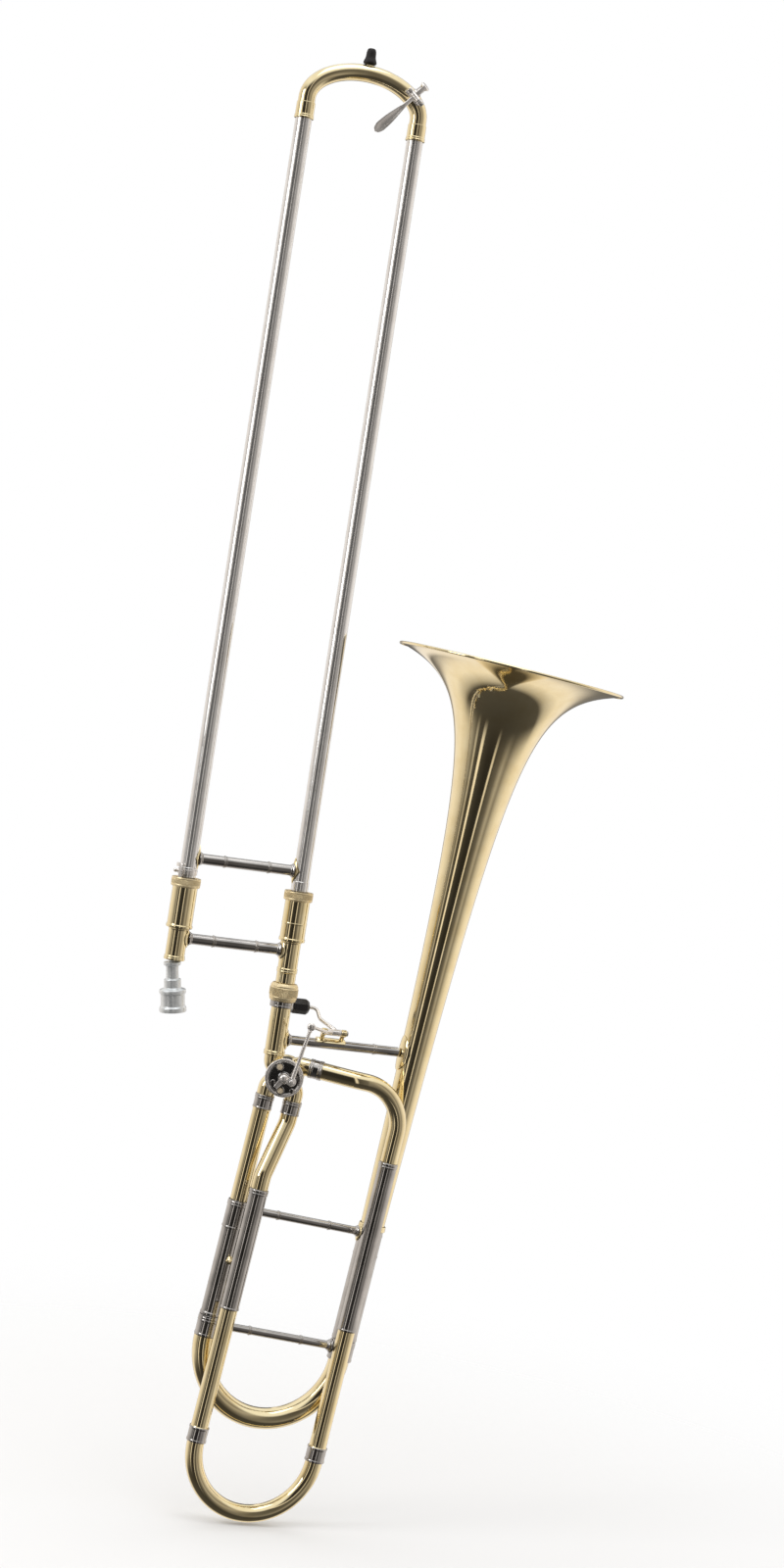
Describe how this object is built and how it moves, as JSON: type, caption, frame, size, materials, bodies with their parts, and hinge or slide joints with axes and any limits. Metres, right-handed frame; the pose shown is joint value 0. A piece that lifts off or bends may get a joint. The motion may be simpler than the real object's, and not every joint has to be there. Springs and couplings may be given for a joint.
{
  "type": "trombone",
  "caption": "Tenor trombone with a rotor valve and F tubing, a sliding outer slide, tuning slides, a thumb lever linkage, a water key and a plug in the mouthpiece receiver.",
  "frame": {"origin": "Centre of the whole part's bounding box at rest, with the outer slide fully in and the slide turned flat beside the bell. The axis of the slide leg that joins the bell section runs parallel to Z and passes through x = -74.61 mm, y = 0, and the joint between slide and bell section is at z = -179.57 mm.", "axes": "+Z along the slide tubes from the bell joint towards the slide crook, +X from the slide towards the bell, +Y away from the valve linkage."},
  "size_m": [0.3778, 0.2048, 1.2788],
  "materials": {
    "lacquered_brass": "clear lacquer over polished brass, pale gold",
    "satin_brass": "satin, knurled or lightly brushed",
    "nickel_silver": "polished nickel silver, bright reflections",
    "steel": "smooth machined",
    "black_plastic": "smooth black",
    "black_rubber": "matt black rubber",
    "grey_plastic": "matt light grey",
    "cork": "pale cork, matt",
    "felt": "dark felt"
  },
  "bodies": {
    "bell_section": {"bell": "lacquered_brass", "tuning_leg_right": "nickel_silver", "tuning_leg_left": "nickel_silver", "main_tube": "lacquered_brass", "gooseneck": "lacquered_brass", "slide_receiver": "nickel_silver", "rotor_casing": "lacquered_brass", "rotor_bearing_plate": "satin_brass", "rotor_rear_cap": "satin_brass", "stop_plate": "nickel_silver", "stop_bumper_upper": "cork", "stop_bumper_lower": "cork", "f_return_tube": "lacquered_brass", "f_outlet_tube": "lacquered_brass", "f_leg_left": "nickel_silver", "f_leg_right": "nickel_silver", "f_stay_left": "lacquered_brass", "f_stay_right": "lacquered_brass", "tuning_brace": "nickel_silver", "bell_brace": "nickel_silver", "bell_brace_flange": "lacquered_brass", "lever_bracket": "lacquered_brass", "lever_hinge_pin": "steel"},
    "slide_section": {"inner_tube_left": "nickel_silver", "inner_tube_right": "nickel_silver", "cork_barrel_left": "lacquered_brass", "cork_barrel_right": "lacquered_brass", "barrel_ring_right": "satin_brass", "slide_bumper_left": "felt", "slide_bumper_right": "felt", "mouthpiece_receiver": "lacquered_brass", "slide_tenon": "lacquered_brass", "inner_brace": "nickel_silver"},
    "bell_lock_nut": {"bell_lock_nut": "satin_brass"},
    "slide_lock_ring": {"slide_lock_ring": "satin_brass"},
    "receiver_plug": {"receiver_plug": "grey_plastic"},
    "outer_slide": {"outer_tube_left": "nickel_silver", "outer_tube_right": "nickel_silver", "slide_crook": "lacquered_brass", "crook_ferrule_left": "lacquered_brass", "crook_ferrule_right": "lacquered_brass", "outer_brace": "nickel_silver", "crook_bumper": "black_rubber", "slide_lock_catch": "nickel_silver", "water_key_saddle": "nickel_silver", "water_key_pin": "steel"},
    "water_key": {"water_key": "nickel_silver", "water_key_cork": "cork"},
    "main_tuning_slide": {"tuning_bow": "lacquered_brass", "tuning_slide_leg_left": "nickel_silver", "tuning_slide_leg_right": "nickel_silver", "tuning_slide_brace": "nickel_silver"},
    "f_tuning_slide": {"f_bow": "lacquered_brass", "f_slide_leg_left": "lacquered_brass", "f_slide_leg_right": "lacquered_brass"},
    "thumb_lever": {"thumb_lever": "nickel_silver", "thumb_pad": "black_plastic"},
    "rotor": {"rotor": "steel", "stop_arm": "nickel_silver"},
    "linkage_rod": {"linkage_rod": "nickel_silver"}
  },
  "joints": [
    {"name": "slide_swivel", "type": "hinge", "parent": "bell_section", "child": "slide_section", "pos_m": [-0.07461, 0, -0.17957], "axis": [0, 0, 1], "range_deg": [-100, 100]},
    {"name": "lock_nut_turn", "type": "hinge", "parent": "slide_section", "child": "bell_lock_nut", "pos_m": [-0.07461, 0, -0.17957], "axis": [0, 0, 1], "continuous": true},
    {"name": "lock_ring_turn", "type": "hinge", "parent": "slide_section", "child": "slide_lock_ring", "pos_m": [-0.17611, 0, -0.09757], "axis": [0, 0, 1], "range_deg": [-20, 0]},
    {"name": "plug_pull", "type": "slide", "parent": "slide_section", "child": "receiver_plug", "axis": [0.1685, 0, -0.9857], "range_m": [0, 0.05], "stiffness_N_per_m": 4, "springref_m": -0.1},
    {"name": "outer_slide_travel", "type": "slide", "parent": "slide_section", "child": "outer_slide", "axis": [0, 0, 1], "range_m": [0, 0.6]},
    {"name": "water_key_rock", "type": "hinge", "parent": "outer_slide", "child": "water_key", "pos_m": [-0.0843, -0.012, 0.60466], "axis": [0.7654, 0, -0.6435], "range_deg": [0, 25], "stiffness_Nm_per_rad": 0.05},
    {"name": "main_tuning_pull", "type": "slide", "parent": "bell_section", "child": "main_tuning_slide", "axis": [-0.0976, 0, -0.9952], "range_m": [0, 0.07], "stiffness_N_per_m": 30, "springref_m": -0.1},
    {"name": "f_tuning_pull", "type": "slide", "parent": "bell_section", "child": "f_tuning_slide", "axis": [-0.0976, 0, -0.9952], "range_m": [0, 0.08], "stiffness_N_per_m": 30, "springref_m": -0.1},
    {"name": "thumb_lever_press", "type": "hinge", "parent": "bell_section", "child": "thumb_lever", "pos_m": [-0.02611, -0.008, -0.21057], "axis": [1, 0, 0], "range_deg": [0, 25.08], "stiffness_Nm_per_rad": 0.3},
    {"name": "rotor_turn", "type": "hinge", "parent": "bell_section", "child": "rotor", "pos_m": [-0.06214, 0, -0.2542], "axis": [0.291, 0.9563, -0.0285], "range_deg": [0, 90.1]},
    {"name": "rod_pivot", "type": "hinge", "parent": "rotor", "child": "linkage_rod", "pos_m": [-0.064, -0.03007, -0.25394], "axis": [0.291, 0.9563, -0.0285], "range_deg": [-81, 0]}
  ],
  "couplings": [
    {"joint": "rotor_turn", "follows": "thumb_lever_press", "ratio": 3.5885},
    {"joint": "rod_pivot", "follows": "thumb_lever_press", "ratio": -3.2219}
  ]
}
